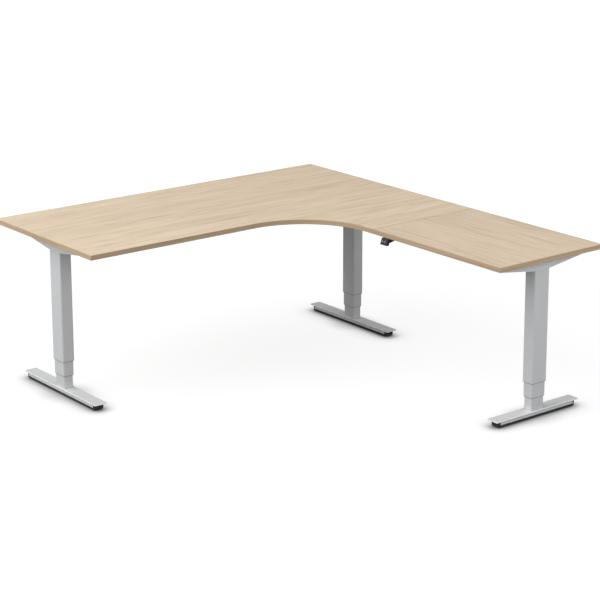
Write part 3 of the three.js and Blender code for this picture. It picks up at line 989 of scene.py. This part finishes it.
class DESK_OT_control_box(bpy.types.Operator):
    """Builds the control box, its lid line, and the sockets in its plug bay"""
    bl_idname = "desk.control_box"
    bl_label = "Control box"

    bay = Vector((196 * MM, 15 * MM, 20 * MM))
    corner, rim = 10 * MM, 1.0 * MM
    lid_gap, neck_inset, neck_corner = 0.6 * MM, 3 * MM, 9 * MM
    sockets = 6
    contact = 1 * MM, 5 * MM, 1 * MM
    contact_pitch = 3 * MM
    screw_inset = 14 * MM, 12 * MM

    def execute(self, context):
        low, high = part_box("control_box")
        size, middle = high - low, (low + high) / 2
        shell_top = 0.7 * size.z
        bm = prism(size.x, size.y, shell_top, self.corner, self.rim, 8)
        lid = prism(size.x, size.y, 0.3 * size.z - self.lid_gap, self.corner, self.rim, 8)
        moved(lid, (0, 0, shell_top + self.lid_gap))
        neck = prism(size.x - self.neck_inset, size.y - self.neck_inset, 2 * MM, self.neck_corner)
        moved(neck, (0, 0, shell_top - 0.7 * MM))
        bm.normal_update()
        low_bay, high_bay = (size.z - self.bay.z) / 2, shell_top - 1.6 * MM
        front = Vector((0, -size.y / 2, (low_bay + high_bay) / 2))
        pull(bm, window(bm, front, X, Z, self.bay.x, high_bay - low_bay), (0, self.bay.y, 0))
        parts = [lid, neck]
        back = -size.y / 2 + self.bay.y
        pitch = self.bay.x / self.sockets
        for number in range(self.sockets):
            x = (number - (self.sockets - 1) / 2) * pitch
            parts.append(painted(self.socket(x, back, front.z, pitch), 1))
            for pin in (-2, -1, 0, 1, 2):
                at = (x + pin * self.contact_pitch, back - 3 * MM, front.z)
                parts.append(painted(moved(prism(*self.contact), at), 2))
        corners = four_corners(size.x / 2 - self.screw_inset[0], size.y / 2 - self.screw_inset[1])
        parts += screw_row(corners, 3.4 * MM, 0.8 * MM, index=3)
        moved(joined(bm, *parts), (middle.x, middle.y, low.z))
        make_piece(bm, "control_box_shell", "dark_housing socket_dark contact_metal screw_steel",
                   "desk_top", "dark_housing", "control_box")
        return {"FINISHED"}

    def socket(self, x, back, z, pitch):
        """A rectangular socket that stands out from the bay's back wall, open to the front."""
        bm = outline(rectangle(pitch - 6 * MM, 9 * MM))
        open_ring(bm, 1.2 * MM)
        pull(bm, bm.faces, (0, 0, 8 * MM))
        return moved(bm, (x, back, z), quarter_turn("X"))


class DESK_OT_handset(bpy.types.Operator):
    """Builds the handset under the side wing, with its up and down buttons"""
    bl_idname = "desk.handset"
    bl_label = "Handset"

    plate_corner, plate_rim = 4 * MM, 0.3 * MM
    hole_width, hole_height, hole_depth = 12.8 * MM, 15.8 * MM, 4.2 * MM
    socket_width, socket_height, socket_depth = 9 * MM, 4.2 * MM, 7 * MM
    key_length, key_width, key_thickness = 15 * MM, 12 * MM, 3 * MM
    key_corner, key_rim = 2.5 * MM, 0.7 * MM

    def execute(self, context):
        press = next(j for j in frame["joints"] if j["name"] == "up_button_press")["axis"]
        self.outward = -Vector(press).normalized()
        self.upward = Vector((self.outward.z, 0, -self.outward.x))
        self.housing()
        self.button("up", 1)
        self.button("down", -1)
        low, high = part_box("handset_mounting_plate")
        plate = slab(low, high, self.plate_corner, self.plate_rim)
        make_piece(plate, "handset_plate", "zinc_steel", "desk_top", "plain_steel",
                   "handset_mounting_plate")
        return {"FINISHED"}

    def housing(self):
        """A case with a sloping face, a hole for each key, and a socket at its back."""
        low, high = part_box("handset_housing")
        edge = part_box("edge_band_extension")[0].x
        lean = self.upward.x / self.upward.z
        face_low = low.z + 2.5 * MM
        face_top = low.x + (high.z - face_low) * lean
        points = [(face_top, high.z), (low.x, face_low), (low.x + 3 * MM, low.z),
                  (low.x + 15 * MM, low.z), (edge + 6 * MM, high.z - 19 * MM),
                  (edge + 40 * MM, high.z - 12 * MM), (high.x, high.z - 8 * MM), (high.x, high.z)]
        bm = outline(points)
        pull(bm, bm.faces, (0, 0, high.y - low.y))
        moved(bm, (0, high.y, 0), quarter_turn("X"))
        round_edges(bm, 1.4 * MM, 4, above=25)
        middle = Vector(((face_top + low.x) / 2, (low.y + high.y) / 2, (high.z + face_low) / 2))
        for name in ("up", "down"):
            button_low, button_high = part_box(f"handset_{name}_button")
            at = middle + Y * ((button_low.y + button_high.y) / 2 - middle.y)
            faces = window(bm, at, Y, self.upward, self.hole_width, self.hole_height)
            pull(bm, faces, -self.hole_depth * self.outward)
            bmesh.ops.recalc_face_normals(bm, faces=bm.faces)
        rear = Vector((high.x, middle.y, high.z - 3.9 * MM))
        faces = window(bm, rear, Y, Z, self.socket_width, self.socket_height)
        pull(bm, faces, (-self.socket_depth, 0, 0))
        make_piece(bm, "handset_case", "handset_shell", "desk_top", "handset_shell", "handset_housing")

    def button(self, name, points_up):
        """A rubber key with softened rims and a plain arrowhead printed on it."""
        low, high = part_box(f"handset_{name}_button")
        middle = (low + high) / 2
        turn = Matrix((self.upward, Y, self.outward)).transposed()
        key = prism(self.key_length, self.key_width, self.key_thickness, self.key_corner, self.key_rim)
        moved(key, (0, 0, -self.key_thickness / 2))
        moved(key, middle, turn)
        make_piece(key, f"{name}_key", "button_rubber", f"{name}_button", "button_cap",
                   f"handset_{name}_button")
        tip, tail, half = 2.6 * MM * points_up, -1.8 * MM * points_up, 3.1 * MM
        mark = outline([(tip, 0), (tail, half), (tail, -half)])
        round_corners(mark, 0.4 * MM, 3)
        pull(mark, mark.faces, (0, 0, 0.2 * MM))
        moved(mark, (0, 0, self.key_thickness / 2 - 0.05 * MM))
        moved(mark, middle, turn)
        make_piece(mark, f"{name}_arrow_mark", "button_print", f"{name}_button", "button_cap")


class DESK_OT_stage(bpy.types.Operator):
    """Lays the studio floor and sets the lights and the camera"""
    bl_idname = "desk.stage"
    bl_label = "Stage"

    sensor_width = 36.0
    view_end, floor_radius = 200.0, 80.0
    glow_from, glow_full = 2.2, 5.0  # distances from the middle, in metres
    shadow_reach, shadow_samples, shadow_power = 0.13, 32, 1.9

    def execute(self, context):
        stage = context.scene.desk_stage
        self.floor(stage)
        self.lights(stage)
        lens = bpy.data.cameras.new("camera")
        lens.lens = stage.lens
        lens.sensor_width = self.sensor_width
        lens.shift_x, lens.shift_y = stage.shift
        lens.clip_end = self.view_end
        camera = bpy.data.objects.new("camera", lens)
        camera.location = stage.camera_place
        camera.rotation_euler = (math.radians(90) - stage.dip, 0, stage.heading - math.radians(90))
        context.scene.collection.objects.link(camera)
        context.scene.camera = camera
        context.scene.view_settings.view_transform = "Standard"
        return {"FINISHED"}

    def floor(self, stage):
        """A wide pale floor, lightened for the camera except in the soft shadows at the feet."""
        bm = bmesh.new()
        bmesh.ops.create_circle(bm, cap_ends=True, segments=96, radius=self.floor_radius)
        mesh = bpy.data.meshes.new("studio_floor")
        bm.to_mesh(mesh)
        bm.free()
        shader = Shader("studio_floor", roughness=0.9, specular_ior_level=0.1)
        cloud = shader.stretch(shader.noise(shader.place(), scale=3.0), 0.3, 0.7)
        bounce = [stage.floor_bounce] * 3
        shader.wear(base_color=shader.mix(cloud, bounce, shade(bounce, 0.97)))
        shown = shader.mix(cloud, stage.floor, shade(stage.floor, 0.97))
        seen = shader.node("ShaderNodeBsdfDiffuse", [shown])
        away = shader.node("ShaderNodeVectorMath", [shader.place()], out="Value", operation="LENGTH")
        open_sky = shader.node("ShaderNodeAmbientOcclusion", {"Distance": self.shadow_reach},
                               out="AO", samples=self.shadow_samples)
        far = shader.stretch(away, self.glow_from, self.glow_full, stage.floor_glow, 1.0)
        lift = open_sky ** self.shadow_power * far
        glow = shader.node("ShaderNodeEmission", [lift])
        seen = shader.node("ShaderNodeAddShader", [seen, glow])
        camera_ray = shader.node("ShaderNodeLightPath", out="Is Camera Ray")
        own = Wire(shader, shader.surface.outputs[0])
        both = shader.node("ShaderNodeMixShader", [camera_ray, own, seen])
        shader.end(both)
        mesh.materials.append(shader.material)
        floor = bpy.data.objects.new("studio_floor", mesh)
        bpy.context.scene.collection.objects.link(floor)

    def lights(self, stage):
        """A broad soft key from the left, a weaker fill from the right, and a soft sky above."""
        for name in ("key", "fill"):
            light = bpy.data.lights.new(f"{name}_light", "AREA")
            light.shape = "DISK"
            light.size = getattr(stage, f"{name}_width")
            light.energy = getattr(stage, name)
            lamp = bpy.data.objects.new(f"{name}_light", light)
            height, heading = getattr(stage, f"{name}_height"), getattr(stage, f"{name}_heading")
            level = math.cos(height)
            down = Vector((math.cos(heading) * level, math.sin(heading) * level, -math.sin(height)))
            lamp.location = -getattr(stage, f"{name}_distance") * down
            lamp.rotation_euler = down.to_track_quat("-Z", "Y").to_euler()
            lamp.visible_camera = False
            bpy.context.scene.collection.objects.link(lamp)
        world = bpy.data.worlds.new("studio")
        world.use_nodes = True
        world.node_tree.nodes.remove(world.node_tree.nodes["Background"])
        sky = Nodes(world.node_tree)
        direction = sky.node("ShaderNodeTexCoord", out="Generated")
        height = sky.node("ShaderNodeSeparateXYZ", [direction], out=2)
        strength = sky.stretch(height, 0.0, 1.0, stage.horizon, stage.zenith)
        soft = sky.node("ShaderNodeBackground", [strength])
        backdrop = sky.node("ShaderNodeBackground", [four((1, 1, 1))])
        camera_ray = sky.node("ShaderNodeLightPath", out="Is Camera Ray")
        sky.end(sky.node("ShaderNodeMixShader", [camera_ray, soft, backdrop]))
        bpy.context.scene.world = world


OPERATORS = (
    DESK_OT_stage, DESK_OT_desktop, DESK_OT_columns, DESK_OT_feet, DESK_OT_brackets,
    DESK_OT_beams, DESK_OT_drives, DESK_OT_control_box, DESK_OT_handset,
)


class DESK_PT_pieces(bpy.types.Panel):
    """Lists the desk's pieces, sizes and colours"""
    bl_idname = "DESK_PT_pieces"
    bl_label = "Corner sit-stand desk"
    bl_space_type = "VIEW_3D"
    bl_region_type = "UI"
    bl_category = "Desk"

    def draw(self, context):
        for group in PROPERTY_GROUPS:
            column = self.layout.column(align=True)
            settings = getattr(context.scene, group)
            for name in settings.__annotations__:
                column.prop(settings, name)
        for operator in OPERATORS:
            self.layout.operator(operator.bl_idname)


CLASSES = (*PROPERTY_GROUPS.values(), *OPERATORS, DESK_PT_pieces)


def register():
    for each in CLASSES:
        bpy.utils.register_class(each)
    for name, group in PROPERTY_GROUPS.items():
        setattr(bpy.types.Scene, name, PointerProperty(type=group))


def unregister():
    for name in PROPERTY_GROUPS:
        delattr(bpy.types.Scene, name)
    for each in reversed(CLASSES):
        bpy.utils.unregister_class(each)


def main():
    register()
    for operator in OPERATORS:
        family, name = operator.bl_idname.split(".")
        getattr(getattr(bpy.ops, family), name)()


if __name__ == "__main__":
    main()
